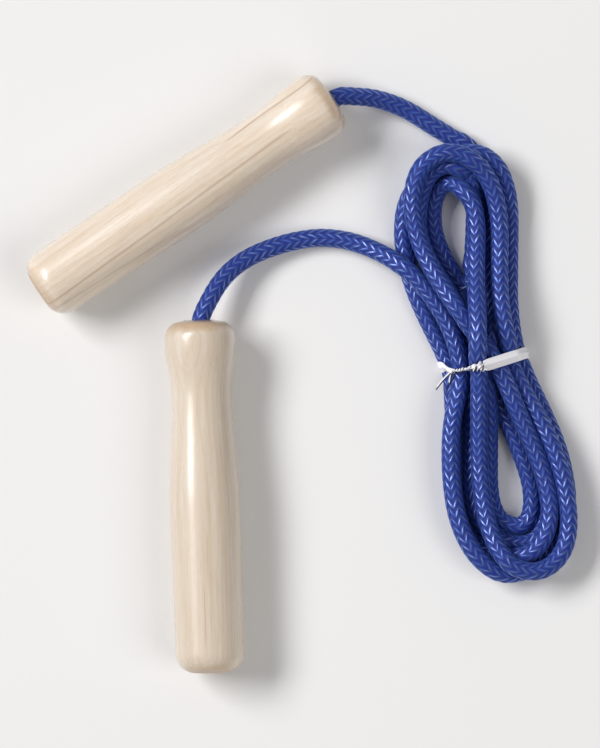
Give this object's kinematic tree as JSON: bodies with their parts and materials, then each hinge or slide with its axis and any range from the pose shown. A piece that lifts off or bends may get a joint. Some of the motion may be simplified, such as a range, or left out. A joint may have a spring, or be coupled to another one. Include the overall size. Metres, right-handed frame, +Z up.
{
  "type": "skipping rope",
  "caption": "Skipping rope folded into a tied hank: a braided cord with a turned wooden handle on each end, free to spin about a stopper knot.",
  "frame": {"origin": "on the floor, under the middle of the box round the two handles", "axes": "+Z up from the floor that the rope lies on; +Y along the nearly straight handle, towards its head; +X towards the hank"},
  "size_m": [0.2046, 0.2202, 0.026],
  "materials": {
    "handle_wood": "pale lacquered hardwood, satin to gloss",
    "plug_wood": "lacquered end grain, satin",
    "washer_steel": "zinc plated, satin",
    "cord": "braided synthetic yarn, slight sheen",
    "tie_plastic": "white plastic strip, semi gloss",
    "tie_wire": "thin bare wire at the cut ends"
  },
  "bodies": {
    "cord": {"knot_a": "cord", "knot_b": "cord", "bore_cord_a": "cord", "bore_cord_b": "cord", "lead_a": "cord", "lead_b": "cord", "hank": "cord", "tie_strip": "tie_plastic", "tie_wire": "tie_wire"},
    "washer_a": {"washer_a": "washer_steel"},
    "washer_b": {"washer_b": "washer_steel"},
    "handle_a": {"handle_a": "handle_wood", "butt_plug_a": "plug_wood"},
    "handle_b": {"handle_b": "handle_wood", "butt_plug_b": "plug_wood"}
  },
  "joints": [
    {"name": "handle_a_play", "type": "slide", "parent": "cord", "child": "washer_a", "axis": [0.8339, 0.5519, 0], "range_m": [0, 0.001]},
    {"name": "handle_a_spin", "type": "hinge", "parent": "washer_a", "child": "handle_a", "pos_m": [0, 0.066, 0.013], "axis": [0.8339, 0.5519, 0], "continuous": true},
    {"name": "handle_b_play", "type": "slide", "parent": "cord", "child": "washer_b", "axis": [-0.0332, 0.9995, 0], "range_m": [0, 0.001]},
    {"name": "handle_b_spin", "type": "hinge", "parent": "washer_b", "child": "handle_b", "pos_m": [0.007, -0.045, 0.013], "axis": [-0.0332, 0.9995, 0], "continuous": true}
  ]
}
